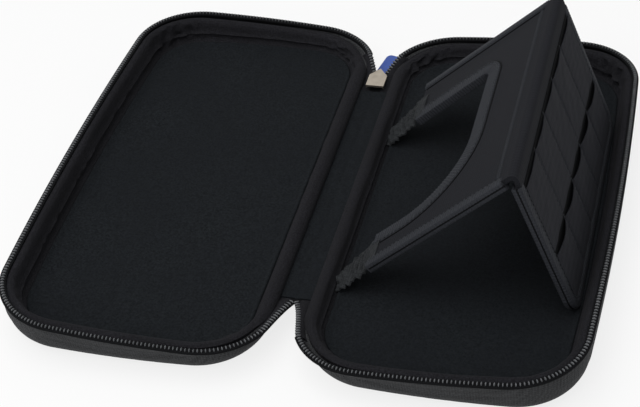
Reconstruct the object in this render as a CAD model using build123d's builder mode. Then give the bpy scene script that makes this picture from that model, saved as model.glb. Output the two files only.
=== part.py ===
from build123d import *
import os
from math import atan2, cos, degrees, hypot, radians, sin

os.makedirs("parts", exist_ok=True)

# Trays, open flat side by side: base at +X, lid at -X, spine along Y, table at Z = 0
tray_width = 137.2
tray_length = 268.0
spine_gap = 16.4
corner_radius = 35.0
side_bulge = 4.0
shell_height = 15.0
wall_draft = 2.6
bottom_round = 12.8
shell_wall = 2.0
shell_floor = 1.4

# Padded lining with its rolled rim, and the pad on the floor
roll_rise = 2.7
rim_width = 6.4
roll_round = 2.0
lining_gap = 0.1
lining_floor = 7.0
foot_round = 0.8
pad_thickness = 1.1
pad_gap = 0.3

# Zipper: tape on the shell's edge, coil along the tape's free edge
tape_thickness = 1.2
tape_seat = 0.3
teeth_rise_outer = 6.6
teeth_drop_spine = 0.7
teeth_flare = 2.0
coil_width = 2.6
coil_height = 2.2
tape_fold_gap = 0.6
tape_end_inset = 34.0

# Spine strip and the sewn tape ends at its two ends
strip_thickness = 1.8
strip_drop = 2.0
strip_end_inset = 49.0
strip_side_gap = 0.2
end_overlap = 3.0
end_thickness = 1.0
end_root = 6.0
end_shoulder = 6.4
end_tip = 7.8
end_notch = 3.0
end_shoulder_reach = 15.0
end_tip_reach = 26.0

# Slider, parked at the far end
slider_width = 10.0
slider_start_gap = 1.0
slider_straight = 10.0
slider_nose = 6.5
slider_plate = 1.2
slider_channel = 3.4
slider_flange = 0.6
post_width = 3.2
post_length = 5.5
bar_radius = 0.9
bar_drop = 2.6
cheek_thickness = 1.0
cheek_length = 2.4

# Pull: metal link on the slider's bar, tab of soft plastic
link_clearance = 0.1
link_radius = 2.2
link_width = 3.6
link_thickness = 1.2
link_length = 8.0
link_side_gap = 0.3
tab_start = 6.2
tab_length = 18.0
tab_width = 10.0
tab_thickness = 2.4
tab_round = 3.0
tab_skew = 14.0
pull_rise = 6.0

# Folding stand: board hung on straps at the spine-side wall, leaning up to its crease
stand_length = 150.0
stand_center_y = 2.2
stand_angle = 42.4
hinge_gap = 4.6
hinge_height = 10.6
stand_slack = 13.9
strap_length = 20.0
board_thickness = 3.2
binding_proud = 0.4
binding_wrap = 0.6
binding_width = 5.0
fold_gap = 2.0
fold_strip_thickness = 0.8
fold_tail_stand = 8.0
fold_tail_flap = 3.0
board_corner = 4.0

# Cut-out in the stand board, open towards the hinge
cut_depth = 75.0
cut_near = 51.7
cut_far = 41.8
cut_near_round = 38.0
cut_far_round = 6.0
cut_binding_width = 8.0

# Straps
strap_width = 18.0
near_strap_inset = 9.5
far_strap_inset = 24.0
strap_thickness = 1.6
strap_wave = 0.9
strap_folds = 5
strap_tab_rise = 0.4
strap_tab = 1.2
strap_gap = 0.15

# Pocket flap, from the crease down to the foot of the outer wall
foot_height = 11.3
foot_gap = 3.4
flap_corner = 10.0
pocket_columns = 5
upper_row_start = 5.0
lower_row_start = 46.0
row_gap = 1.5
row_edge_gap = 0.5
pocket_cloth = 0.9
pocket_depth = 0.9
pocket_seam = 1.2
pocket_hem = 2.5

# Worked-out places
spine_edge = spine_gap / 2
roll_height = shell_height + roll_rise
strip_top = shell_height - strip_drop
strip_half_length = tray_length / 2 - strip_end_inset
tape_end = tray_length / 2 - tape_end_inset
roll_inner = spine_edge + rim_width
cavity_floor = shell_floor + lining_floor
pad_top = cavity_floor + pad_thickness
teeth_tilt = degrees(atan2(teeth_rise_outer + teeth_drop_spine, tray_width))
wall_inner_at_hinge = roll_inner + wall_draft * (1 - hinge_height / shell_height)
hinge_x = wall_inner_at_hinge + hinge_gap
stand_reach = tray_width - 2 * rim_width - stand_slack
panel_thickness = board_thickness + 2 * binding_proud
crease_x = hinge_x + stand_reach * cos(radians(stand_angle))
crease_z = hinge_height + stand_reach * sin(radians(stand_angle))
half_stand = stand_length / 2

# The outer wall's inner face where the flap's ends meet it, at the foot's height
bulge_at_flap = side_bulge * ((half_stand + stand_center_y) / (tray_length / 2)) ** 2
outer_wall_x = spine_edge + tray_width - rim_width - wall_draft * (1 - foot_height / shell_height)
foot_x = outer_wall_x - bulge_at_flap - foot_gap

# The flap's inner face runs from the crease to a point one panel thickness behind its foot
foot_span = hypot(foot_x - crease_x, crease_z - foot_height)
flap_length = (foot_span**2 - panel_thickness**2) ** 0.5
foot_angle = atan2(crease_z - foot_height, foot_x - crease_x)
flap_angle = degrees(foot_angle + atan2(panel_thickness, flap_length))

stand_plane = Plane(
    origin=(hinge_x, stand_center_y, hinge_height),
    x_dir=(cos(radians(stand_angle)), 0, sin(radians(stand_angle))),
    z_dir=(-sin(radians(stand_angle)), 0, cos(radians(stand_angle))),
)
flap_plane = Plane(
    origin=(crease_x, stand_center_y, crease_z),
    x_dir=(cos(radians(flap_angle)), 0, -sin(radians(flap_angle))),
    z_dir=(sin(radians(flap_angle)), 0, cos(radians(flap_angle))),
)


def save(builder, name):
    builder.part.label = name
    export_step(builder.part, f"parts/{name}.step")


def level_plane(side, height):
    return Plane(origin=(side * spine_edge, 0, height), x_dir=(side, 0, 0), z_dir=(0, 0, 1))


def teeth_plane(side):
    # Plane of the zipper coil: low at the spine, rising to the outer long side
    tilt = radians(teeth_tilt)
    normal = Vector(-side * sin(tilt), 0, cos(tilt))
    start = Vector(side * spine_edge, 0, roll_height - teeth_drop_spine)
    return Plane(origin=start, x_dir=(side * cos(tilt), 0, sin(tilt)), z_dir=normal)


def tray_outline(plane, inset, flare=0.0):
    # Rounded outline, straight along the spine and bowed on the other three sides
    near_u = inset - 2 * flare
    far_u = tray_width - inset
    half = tray_length / 2 - inset + flare
    shoulder_u = far_u - side_bulge
    shoulder_y = half - side_bulge
    middle_u = (near_u + far_u) / 2
    with BuildSketch(plane) as outline:
        with BuildLine():
            Line((near_u, -shoulder_y), (near_u, shoulder_y))
            ThreePointArc((near_u, shoulder_y), (middle_u, half), (shoulder_u, shoulder_y))
            ThreePointArc((shoulder_u, shoulder_y), (far_u, 0), (shoulder_u, -shoulder_y))
            ThreePointArc((shoulder_u, -shoulder_y), (middle_u, -half), (near_u, -shoulder_y))
        make_face()
        fillet(outline.vertices(), radius=corner_radius - inset + flare)
    return outline.sketch


def tray_block(side, inset, bottom, top, bottom_radius):
    # Drafted tray-shaped block with a rounded bottom edge
    sections = []
    for height in (bottom, top):
        drafted_inset = inset + wall_draft * (1 - height / shell_height)
        sections.append(tray_outline(level_plane(side, height), drafted_inset))
    with BuildPart() as block:
        loft(sections)
        fillet(block.faces().sort_by(Axis.Z)[0].edges(), radius=bottom_radius)
    return block.part


def spine_clearance(side):
    # Block that ends the zipper short of the spine, clear of both fold lines
    spine_reach = spine_edge + tape_fold_gap
    with BuildPart() as clearance:
        with BuildSketch():
            Rectangle(2 * spine_reach, 2 * tray_length)
            with Locations((side * spine_edge, 0)):
                Rectangle(corner_radius, 2 * tape_end)
        extrude(amount=tray_width)
    return clearance.part


# Both trays, piece by piece
for tray, side in (("base", 1), ("lid", -1)):
    hollow = tray_block(side, shell_wall, shell_floor, roll_height, bottom_round - shell_wall)
    with BuildPart() as shell:
        add(tray_block(side, 0, 0, shell_height, bottom_round))
        add(hollow, mode=Mode.SUBTRACT)
    save(shell, f"{tray}_shell")

    with BuildPart() as lining:
        inset = shell_wall + lining_gap
        add(tray_block(side, inset, shell_floor, roll_height, bottom_round - shell_wall))
        add(tray_block(side, rim_width, cavity_floor, roll_height, foot_round), mode=Mode.SUBTRACT)
        fillet(lining.faces().sort_by(Axis.Z)[-1].edges(), radius=roll_round)
    save(lining, f"{tray}_lining")

    with BuildPart() as pad:
        pad_inset = rim_width + wall_draft * (1 - cavity_floor / shell_height) + foot_round + pad_gap
        extrude(tray_outline(level_plane(side, cavity_floor), pad_inset), amount=pad_thickness)
        fillet(pad.faces().sort_by(Axis.Z)[-1].edges(), radius=pad_thickness / 2)
    save(pad, f"{tray}_floor_pad")

    with BuildPart() as tape:
        for inset, mode in ((tape_seat, Mode.ADD), (tape_seat + tape_thickness, Mode.SUBTRACT)):
            sewn_edge = tray_outline(level_plane(side, shell_height), inset)
            free_edge = tray_outline(teeth_plane(side), inset, teeth_flare)
            loft([sewn_edge, free_edge], ruled=True, mode=mode)
        add(spine_clearance(side), mode=Mode.SUBTRACT)
    save(tape, f"{tray}_zipper_tape")

    with BuildPart() as coil:
        outer_inset = tape_seat - (coil_width - tape_thickness) / 2
        for inset, mode in ((outer_inset, Mode.ADD), (outer_inset + coil_width, Mode.SUBTRACT)):
            extrude(tray_outline(teeth_plane(side), inset, teeth_flare), amount=coil_height, mode=mode)
        add(spine_clearance(side), mode=Mode.SUBTRACT)
    save(coil, f"{tray}_zipper_coil")

# Spine strip between the two trays
with BuildPart() as spine_strip:
    with BuildSketch(Plane.XY.offset(strip_top - strip_thickness)):
        Rectangle(spine_gap - 2 * strip_side_gap, 2 * strip_half_length)
    extrude(amount=strip_thickness)
save(spine_strip, "spine_strip")

# Tape ends, sewn on the strip, parting in a notch towards the two trays
end_outline = [
    (end_root, strip_half_length - end_overlap),
    (end_shoulder, strip_half_length + end_shoulder_reach),
    (end_tip, strip_half_length + end_tip_reach),
    (0, strip_half_length + end_notch),
]
for name, direction in (("zipper_end_near", -1), ("zipper_end_far", 1)):
    right = [(x, direction * y) for x, y in end_outline]
    left = [(-x, y) for x, y in reversed(right[:-1])]
    with BuildPart() as tape_end_piece:
        with BuildSketch(Plane.XY.offset(strip_top)):
            with BuildLine():
                Polyline(*right, *left, close=True)
            make_face()
        extrude(amount=end_thickness)
    save(tape_end_piece, name)

# Slider: two plates on a post, the tape ends running between them, and a bar for the pull
slider_start = strip_half_length + slider_start_gap
slider_shoulder = slider_start + slider_straight
channel_bottom = strip_top + end_thickness / 2 - slider_channel / 2
channel_top = channel_bottom + slider_channel
bar_y = slider_shoulder + slider_nose / 2
bar_z = channel_bottom - slider_plate - bar_drop
cheek_gap = link_width / 2 + link_side_gap
with BuildPart() as slider:
    for plate_bottom in (channel_bottom - slider_plate, channel_top):
        with BuildSketch(Plane.XY.offset(plate_bottom)):
            with BuildLine():
                Polyline(
                    (-slider_width / 2, slider_start),
                    (slider_width / 2, slider_start),
                    (slider_width / 2, slider_shoulder),
                    (0, slider_shoulder + slider_nose),
                    (-slider_width / 2, slider_shoulder),
                    close=True,
                )
            make_face()
        extrude(amount=slider_plate)
    with BuildSketch(Plane.XY.offset(channel_bottom)):
        with Locations((0, slider_shoulder + post_length / 4)):
            Ellipse(post_width / 2, post_length / 2)
    extrude(amount=slider_channel)
    with BuildSketch(Plane.XY.offset(channel_top - slider_flange)):
        for flange_side in (-1, 1):
            with Locations((flange_side * (slider_width - slider_flange) / 2, slider_start + slider_straight / 2)):
                Rectangle(slider_flange, slider_straight)
    extrude(amount=slider_flange)
    for cheek_side in (-1, 1):
        with BuildSketch(Plane.YZ.offset(cheek_side * cheek_gap)):
            with Locations((bar_y, (bar_z + channel_bottom - slider_plate) / 2)):
                Rectangle(cheek_length, bar_drop)
            with Locations((bar_y, bar_z)):
                Circle(cheek_length / 2)
        extrude(amount=cheek_side * cheek_thickness)
    with BuildSketch(Plane.YZ.offset(-cheek_gap)):
        with Locations((bar_y, bar_z)):
            Circle(bar_radius)
    extrude(amount=2 * cheek_gap)
save(slider, "zipper_slider")

# Pull link: an eye round the slider's bar and a tongue that runs into the tab
pull_run = Vector(0, cos(radians(pull_rise)), sin(radians(pull_rise)))
pull_normal = Vector(0, -sin(radians(pull_rise)), cos(radians(pull_rise)))
pull_plane = Plane(origin=(0, bar_y, bar_z), x_dir=pull_run, z_dir=pull_normal)
side_plane = Plane(origin=(link_width / 2, bar_y, bar_z), x_dir=pull_run, z_dir=(1, 0, 0))
with BuildPart() as pull_link:
    with BuildSketch(side_plane):
        Circle(link_radius)
        with Locations((link_length / 2, 0)):
            Rectangle(link_length, link_thickness)
        Circle(bar_radius + link_clearance, mode=Mode.SUBTRACT)
    extrude(amount=-link_width)
save(pull_link, "pull_link")

with BuildPart() as pull_tab:
    with BuildSketch(pull_plane.offset(-tab_thickness / 2)):
        with Locations(Location((tab_start, 0), -tab_skew)):
            with Locations((tab_length / 2, 0)):
                RectangleRounded(tab_length, tab_width, tab_round)
    extrude(amount=tab_thickness)
    chamfer(pull_tab.faces().filter_by(Axis(origin=(0, 0, 0), direction=pull_normal)).edges(), tab_thickness / 5)
    add(pull_link.part, mode=Mode.SUBTRACT)
save(pull_tab, "pull_tab")


def cut_out(grow=0.0):
    # U-shaped cut-out, open past the hinge-side edge; near corner a long sweep, far corner tight
    near = -cut_near - grow
    far = cut_far + grow
    with BuildSketch(mode=Mode.PRIVATE) as opening:
        with Locations((0, near)):
            Rectangle(cut_depth + grow, far - near, align=(Align.MIN, Align.MIN))
        deep_corners = opening.vertices().group_by(Axis.X)[-1].sort_by(Axis.Y)
        fillet(deep_corners[0], radius=cut_near_round + grow)
        fillet(opening.vertices().group_by(Axis.Y)[-1].sort_by(Axis.X)[-1], radius=cut_far_round + grow)
    return opening.sketch


# Stand board, its outer binding and the binding of the cut-out
board_end = stand_reach - fold_gap
board_span = board_end - strap_length
with BuildPart() as stand_board:
    with BuildSketch(stand_plane.offset(binding_proud)) as board_face:
        with Locations((strap_length, 0)):
            Rectangle(board_span, stand_length - 2 * binding_wrap, align=(Align.MIN, Align.CENTER))
        fillet(board_face.vertices().group_by(Axis.X)[0], radius=board_corner)
        add(cut_out(binding_wrap), mode=Mode.SUBTRACT)
    extrude(amount=board_thickness)
save(stand_board, "stand_board")

with BuildPart() as stand_binding:
    with BuildSketch(stand_plane):
        for edge_side in (-1, 1):
            with Locations((strap_length, edge_side * (half_stand - binding_width / 2))):
                Rectangle(board_span, binding_width, align=(Align.MIN, Align.CENTER))
    extrude(amount=panel_thickness)
    add(stand_board.part, mode=Mode.SUBTRACT)
save(stand_binding, "stand_binding")

with BuildPart() as cutout_binding:
    with BuildSketch(stand_plane):
        add(cut_out(cut_binding_width))
        add(cut_out(), mode=Mode.SUBTRACT)
        Rectangle(2 * strap_length, 2 * stand_length, mode=Mode.SUBTRACT)
    extrude(amount=panel_thickness)
    add(stand_board.part, mode=Mode.SUBTRACT)
save(cutout_binding, "cutout_binding")

# Gathered straps between the spine-side wall and the two arms of the board
strap_tab_bottom = pad_top + strap_tab_rise
arm_middles = {"near_strap": near_strap_inset - half_stand, "far_strap": half_stand - far_strap_inset}
fold_pitch = (strap_length - strap_tab) / strap_folds
strap_middle = panel_thickness / 2


def wall_face(height):
    return roll_inner + wall_draft * (1 - height / shell_height) + strap_gap


def strap_wave_points(offset):
    points = []
    for fold in range(strap_folds + 1):
        swing = strap_wave if fold % 2 else -strap_wave
        height = strap_middle + offset + swing * min(1, strap_folds - fold)
        place = stand_plane.from_local_coords(Vector(strap_tab + fold * fold_pitch, 0, height))
        points.append((place.X, place.Z))
    return points


for name, middle in arm_middles.items():
    strap_plane = Plane(
        origin=(0, stand_center_y + middle + strap_width / 2, 0), x_dir=(1, 0, 0), z_dir=(0, -1, 0)
    )
    lower_wave = strap_wave_points(-strap_thickness / 2)
    upper_wave = strap_wave_points(strap_thickness / 2)
    with BuildPart() as strap:
        with BuildSketch(strap_plane):
            with BuildLine():
                Polyline(
                    (wall_face(strap_tab_bottom), strap_tab_bottom),
                    (wall_face(strap_tab_bottom) + strap_tab, strap_tab_bottom),
                    *lower_wave,
                    *reversed(upper_wave),
                    (wall_face(hinge_height), hinge_height),
                    close=True,
                )
            make_face()
        extrude(amount=strap_width)
    save(strap, name)

# Fold strip: cloth bent over the whole crease, with a tail between the bindings of each board
board_top = binding_proud + board_thickness
fold_outer = board_top + fold_strip_thickness
inner_width = stand_length - 2 * binding_width - 2 * row_edge_gap
fold_angles = [radians(90 + stand_angle), radians(90 + (stand_angle - flap_angle) / 2), radians(90 - flap_angle)]
fold_tails = [
    Vector(-cos(radians(stand_angle)), -sin(radians(stand_angle))) * fold_tail_stand,
    Vector(cos(radians(flap_angle)), -sin(radians(flap_angle))) * fold_tail_flap,
]


def fold_arc(radius):
    return [Vector(cos(angle), sin(angle)) * radius for angle in fold_angles]


def crease_plane(half_width):
    return Plane(origin=(crease_x, stand_center_y + half_width, crease_z), x_dir=(1, 0, 0), z_dir=(0, -1, 0))


with BuildPart() as fold_strip:
    under = fold_arc(board_top)
    over = fold_arc(fold_outer)
    with BuildSketch(crease_plane(half_stand)):
        with BuildLine():
            ThreePointArc(*under)
            Line(under[-1], over[-1])
            ThreePointArc(*reversed(over))
            Line(over[0], under[0])
        make_face()
    extrude(amount=stand_length)
    with BuildSketch(crease_plane(inner_width / 2)):
        for place, tail in zip((0, -1), fold_tails):
            with BuildLine():
                Polyline(under[place], over[place], over[place] + tail, under[place] + tail, close=True)
            make_face()
    extrude(amount=inner_width)
save(fold_strip, "fold_strip")

# Pocket flap: board, binding on its three free edges, two rows of card pockets
with BuildPart() as flap_board:
    with BuildSketch(flap_plane.offset(binding_proud)) as flap_face:
        with Locations((fold_gap, 0)):
            Rectangle(
                flap_length - fold_gap - binding_wrap,
                stand_length - 2 * binding_wrap,
                align=(Align.MIN, Align.CENTER),
            )
        fillet(flap_face.vertices().group_by(Axis.X)[-1], radius=flap_corner - binding_wrap)
    extrude(amount=board_thickness)
save(flap_board, "flap_board")

with BuildPart() as flap_binding:
    with BuildSketch(flap_plane) as binding_face:
        with Locations((fold_gap, 0)):
            Rectangle(flap_length - fold_gap, stand_length, align=(Align.MIN, Align.CENTER))
        fillet(binding_face.vertices().group_by(Axis.X)[-1], radius=flap_corner)
        with BuildSketch(mode=Mode.PRIVATE) as inside:
            Rectangle(
                flap_length - binding_width,
                stand_length - 2 * binding_width,
                align=(Align.MIN, Align.CENTER),
            )
            fillet(inside.vertices().group_by(Axis.X)[-1], radius=flap_corner - binding_width)
        add(inside.sketch, mode=Mode.SUBTRACT)
    extrude(amount=panel_thickness)
    add(flap_board.part, mode=Mode.SUBTRACT)
save(flap_binding, "flap_binding")

pocket_pitch = inner_width / pocket_columns
foot_row_corner = flap_corner - binding_width
row_ends = {
    "pocket_row_upper": (upper_row_start, lower_row_start - row_gap, row_gap / 2),
    "pocket_row_lower": (lower_row_start, flap_length - binding_width - row_edge_gap, foot_row_corner),
}
for name, (row_start, row_end, row_corner) in row_ends.items():
    with BuildPart() as pocket_row:
        with BuildSketch(flap_plane.offset(board_top)) as row_face:
            with Locations((row_start, 0)):
                Rectangle(row_end - row_start, inner_width, align=(Align.MIN, Align.CENTER))
            fillet(row_face.vertices().group_by(Axis.X)[-1], radius=row_corner)
        extrude(amount=pocket_depth + pocket_cloth)
        with BuildSketch(flap_plane.offset(board_top)):
            with Locations(((row_start + row_end - pocket_hem) / 2, 0)):
                with GridLocations(0, pocket_pitch, 1, pocket_columns):
                    Rectangle(row_end - row_start - pocket_hem, pocket_pitch - pocket_seam)
        extrude(amount=pocket_depth, mode=Mode.SUBTRACT)
    save(pocket_row, name)

print(f"hinge at x {hinge_x:.3f} z {hinge_height:.3f}")
print(f"crease at x {crease_x:.3f} z {crease_z:.3f}")
print(f"flap length {flap_length:.3f}, angle {flap_angle:.3f}, foot at x {foot_x:.3f}")
print(f"pull bar at y {bar_y:.3f} z {bar_z:.3f}, floor pad top {pad_top:.3f}")
print(f"crease above the pad {crease_z - pad_top:.3f}, flap swing {hypot(flap_length, panel_thickness):.3f}")
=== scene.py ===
import math
import bmesh
import bpy
from mathutils import Matrix, Vector, noise


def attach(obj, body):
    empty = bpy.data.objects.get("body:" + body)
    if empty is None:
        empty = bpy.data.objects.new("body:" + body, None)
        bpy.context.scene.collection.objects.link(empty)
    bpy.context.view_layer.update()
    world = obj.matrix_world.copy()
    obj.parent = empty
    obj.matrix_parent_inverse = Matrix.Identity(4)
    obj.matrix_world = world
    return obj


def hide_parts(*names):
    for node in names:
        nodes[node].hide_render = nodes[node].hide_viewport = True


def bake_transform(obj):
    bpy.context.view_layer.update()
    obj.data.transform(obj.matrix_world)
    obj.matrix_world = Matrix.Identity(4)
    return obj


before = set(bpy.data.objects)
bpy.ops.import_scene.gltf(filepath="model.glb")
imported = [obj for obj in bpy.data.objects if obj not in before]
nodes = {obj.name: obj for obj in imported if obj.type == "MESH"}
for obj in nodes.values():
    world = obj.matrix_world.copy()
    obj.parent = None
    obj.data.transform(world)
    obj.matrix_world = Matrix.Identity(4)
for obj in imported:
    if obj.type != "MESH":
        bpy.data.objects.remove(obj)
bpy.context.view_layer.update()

mm = 0.001
scene = bpy.context.scene
scene.view_settings.view_transform = "Standard"


def linear(hexColour):
    channels = [int(hexColour[i:i + 2], 16) / 255 for i in (1, 3, 5)]
    return [c / 12.92 if c <= 0.04045 else ((c + 0.055) / 1.055) ** 2.4 for c in channels] + [1.0]


def addNode(tree, kind, settings=None, values=None, links=None):
    node = tree.nodes.new(kind)
    for key, value in (settings or {}).items():
        setattr(node, key, value)
    for key, value in (values or {}).items():
        node.inputs[key].default_value = value
    for key, source in (links or {}).items():
        tree.links.new(source, node.inputs[key])
    return node


def scalar(tree, operation, values=None, links=None):
    return addNode(tree, "ShaderNodeMath", {"operation": operation}, values, links).outputs[0]


def remap(tree, value, start=(0.0, 1.0), end=(0.0, 1.0)):
    limits = {"From Min": start[0], "From Max": start[1], "To Min": end[0], "To Max": end[1]}
    return addNode(tree, "ShaderNodeMapRange", None, limits, {"Value": value}).outputs[0]


def mottle(tree, place, size, detail, rough=0.5):
    return addNode(tree, "ShaderNodeTexNoise", None, {"Scale": 1 / (size * mm), "Detail": detail, "Roughness": rough},
                   {"Vector": place}).outputs["Fac"]


def mixColours(tree, share, values, links=None):
    return addNode(tree, "ShaderNodeMix", {"data_type": "RGBA"}, values, {0: share, **(links or {})}).outputs[2]


def newMaterial(name):
    material = bpy.data.materials.new(name)
    material.use_nodes = True
    return material, material.node_tree, material.node_tree.nodes["Principled BSDF"]


def coat(tree, shader, colour, rough, bump):
    for key, source in (("Base Color", colour), ("Roughness", rough), ("Normal", bump)):
        tree.links.new(source, shader.inputs[key])


def smoothStep(value):
    value = min(1.0, max(0.0, value))
    return value * value * (3 - 2 * value)


def easeFrom(value, span):  # 0 before the span's start, 1 past its length
    return smoothStep((value - span[0]) / span[1])


# Camera where the photograph was taken from
view = {"azimuth": 16.589, "elevation": 39.988, "roll": -4.757, "distance": 851.81, "focal": 1631.63, "clipEnd": 20.0,
        "middle": (345.04, 210.40), "image": (640, 407), "target": (3.448, -2.708), "sensor": 36.0}
azimuth, elevation, roll = (math.radians(view[key]) for key in ("azimuth", "elevation", "roll"))
back = Vector((math.sin(azimuth) * math.cos(elevation), -math.cos(azimuth) * math.cos(elevation), math.sin(elevation)))
level = Vector((0, 0, 1)).cross(back).normalized()
upright = back.cross(level)
right = math.cos(roll) * level + math.sin(roll) * upright
up = -math.sin(roll) * level + math.cos(roll) * upright
eye = (back * view["distance"] + Vector((*view["target"], 0))) * mm
cameraData = bpy.data.cameras.new("photoCamera")
cameraData.sensor_width = view["sensor"]
cameraData.lens = view["focal"] * view["sensor"] / view["image"][0]
cameraData.shift_x = (view["image"][0] / 2 - view["middle"][0]) / view["image"][0]
cameraData.shift_y = (view["middle"][1] - view["image"][1] / 2) / view["image"][0]
cameraData.clip_end = view["clipEnd"]
camera = bpy.data.objects.new("photoCamera", cameraData)
camera.matrix_world = Matrix((right, up, back)).transposed().to_4x4()
camera.location = eye
scene.collection.objects.link(camera)
scene.camera = camera

# Soft light from above and from the front, white all round
studio = {"world": 0.42, "floor": "#ececec", "floorHalf": 3.0, "floorRough": 0.9, "clean": 0.8, "aim": (0, 0, 0.02),
          "lamps": {"overhead": ((-0.28, -0.25, 1.25), 1.4, 13.0), "front": ((-0.25, -1.25, 0.65), 0.9, 3.5)}}


def seenRays(tree):  # rays that show the white itself, not its light
    rays = addNode(tree, "ShaderNodeLightPath").outputs
    direct = scalar(tree, "MAXIMUM", None, {0: rays["Is Camera Ray"], 1: rays["Is Glossy Ray"]})
    return scalar(tree, "MAXIMUM", None, {0: direct, 1: rays["Is Transmission Ray"]})


world = bpy.data.worlds.new("studioAir")
scene.world = world
world.use_nodes = True
air = world.node_tree
air.nodes.clear()
seen = seenRays(air)
lit, shown = [addNode(air, "ShaderNodeBackground", None, {"Color": (1, 1, 1, 1), "Strength": strength}).outputs[0]
              for strength in (studio["world"], 1.0)]
either = addNode(air, "ShaderNodeMixShader", None, None, {0: seen, 1: lit, 2: shown})
addNode(air, "ShaderNodeOutputWorld", None, None, {"Surface": either.outputs[0]})
for lampName, (lampPlace, lampSize, lampPower) in studio["lamps"].items():
    lampData = bpy.data.lights.new(lampName, "AREA")
    lampData.size = lampSize
    lampData.energy = lampPower
    lamp = bpy.data.objects.new(lampName, lampData)
    lamp.location = lampPlace
    aim = Vector(studio["aim"]) - Vector(lampPlace)
    lamp.rotation_euler = aim.to_track_quat("-Z", "Y").to_euler()
    scene.collection.objects.link(lamp)

# Painted board: matt white, clean where the shadow isn't
floorMaterial, floorTree, floorShader = newMaterial("paintedBoardFloor")
floorShader.inputs["Base Color"].default_value = linear(studio["floor"])
floorShader.inputs["Roughness"].default_value = studio["floorRough"]
floorShader.inputs["Specular IOR Level"].default_value = 0.0
floorShare = scalar(floorTree, "MULTIPLY", {1: studio["clean"]}, {0: seenRays(floorTree)})
floorGlow = addNode(floorTree, "ShaderNodeEmission", None, {"Color": (1, 1, 1, 1), "Strength": 1.0})
floorMix = addNode(floorTree, "ShaderNodeMixShader", None, None,
                   {0: floorShare, 1: floorShader.outputs[0], 2: floorGlow.outputs[0]})
floorTree.links.new(floorMix.outputs[0], floorTree.nodes["Material Output"].inputs["Surface"])
floorMesh = bpy.data.meshes.new("studioFloor")
floorHalf = studio["floorHalf"]
floorCorners = [(x * floorHalf, y * floorHalf, 0) for x, y in ((-1, -1), (1, -1), (1, 1), (-1, 1))]
floorMesh.from_pydata(floorCorners, [], [(0, 1, 2, 3)])
floorMesh.materials.append(floorMaterial)
floorBoard = bpy.data.objects.new("studioFloor", floorMesh)
scene.collection.objects.link(floorBoard)
print("camera, light and floor stand")

# Cloth: crossed threads at a real pitch, short fibres over them, slow change of tone
clothLook = {"threadSpan": (-2.0, 2.0), "fibreDetail": 3.0, "fibreRough": 0.65, "napSpan": (0.32, 0.68),
             "toneDetail": 2.0, "toneSpan": (0.3, 0.7), "roughSpan": (-0.1, 0.08), "sheenRough": 0.5,
             "usual": {"weave": 0.5, "worn": 0.4, "bump": 0.6, "sheen": 0.01}}


def clothMaterial(name, finish):
    finish = {**clothLook["usual"], **finish}
    material, tree, shader = newMaterial(name)
    place = addNode(tree, "ShaderNodeTexCoord").outputs["Object"]
    turn = 2 * math.pi / (finish["pitch"] * mm)
    waves = addNode(tree, "ShaderNodeVectorMath", {"operation": "SCALE"}, {"Scale": turn}, {0: place})
    ripples = addNode(tree, "ShaderNodeVectorMath", {"operation": "SINE"}, None, {0: waves.outputs[0]})
    crossed = addNode(tree, "ShaderNodeVectorMath", {"operation": "DOT_PRODUCT"}, {1: (1, 1, 1)},
                      {0: ripples.outputs[0]})
    threads = remap(tree, crossed.outputs["Value"], clothLook["threadSpan"])
    fibres = mottle(tree, place, finish["fibre"], clothLook["fibreDetail"], clothLook["fibreRough"])
    nap = remap(tree, fibres, clothLook["napSpan"])
    tones = mottle(tree, place, finish["cloud"], clothLook["toneDetail"])
    woven = scalar(tree, "MULTIPLY", {1: finish["weave"]}, {0: threads})
    surface = scalar(tree, "MULTIPLY_ADD", {1: 1 - finish["weave"]}, {0: nap, 2: woven})
    dyed = mixColours(tree, surface, {6: linear(finish["dark"]), 7: linear(finish["light"])})
    clouded = remap(tree, tones, clothLook["toneSpan"], (0.0, finish["worn"]))
    toned = mixColours(tree, clouded, {7: linear(finish["tone"])}, {6: dyed})
    bump = addNode(tree, "ShaderNodeBump", None, {"Strength": finish["bump"], "Distance": finish["height"] * mm},
                   {"Height": surface}).outputs[0]
    rough = remap(tree, surface, end=[finish["rough"] + change for change in clothLook["roughSpan"]])
    coat(tree, shader, toned, rough, bump)
    shader.inputs["Specular IOR Level"].default_value = finish["gloss"]
    shader.inputs["Sheen Weight"].default_value = finish["sheen"]
    shader.inputs["Sheen Roughness"].default_value = clothLook["sheenRough"]
    return material


# Woven polyester over the moulded shells: coarse square grain, drawn coarse enough to show, a little shine
wovenPolyester = clothMaterial("wovenPolyester", {
    "dark": "#0c0d0e", "light": "#454648", "tone": "#242526", "pitch": 1.3, "fibre": 0.9, "cloud": 40,
    "worn": 0.25, "bump": 0.9, "height": 0.3, "rough": 0.72, "gloss": 0.12})
# Brushed tricot on the padded walls: fine nap with no threads to see, dark with a faint warm cast
brushedTricot = clothMaterial("brushedTricot", {
    "dark": "#0c0c0e", "light": "#2b2b2f", "tone": "#1b1b1d", "pitch": 0.9, "fibre": 0.8, "cloud": 30, "weave": 0.15,
    "worn": 0.5, "height": 0.2, "rough": 0.85, "gloss": 0.04})
# The same tricot laid flat on the floors: greyer, with a heathered speckle
heatheredTricot = clothMaterial("heatheredTricot", {
    "dark": "#0d0f11", "light": "#222528", "tone": "#16181b", "pitch": 0.9, "fibre": 1.1, "cloud": 45, "weave": 0.1,
    "height": 0.2, "rough": 0.88, "gloss": 0.04})
# Zipper tape: tight polyester twill, the blackest cloth on the case
polyesterTape = clothMaterial("polyesterTape", {
    "dark": "#060607", "light": "#121315", "tone": "#0b0c0d", "pitch": 0.8, "fibre": 0.4, "cloud": 25, "weave": 0.6,
    "worn": 0.3, "height": 0.12, "rough": 0.8, "gloss": 0.06, "sheen": 0.0})
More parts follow.
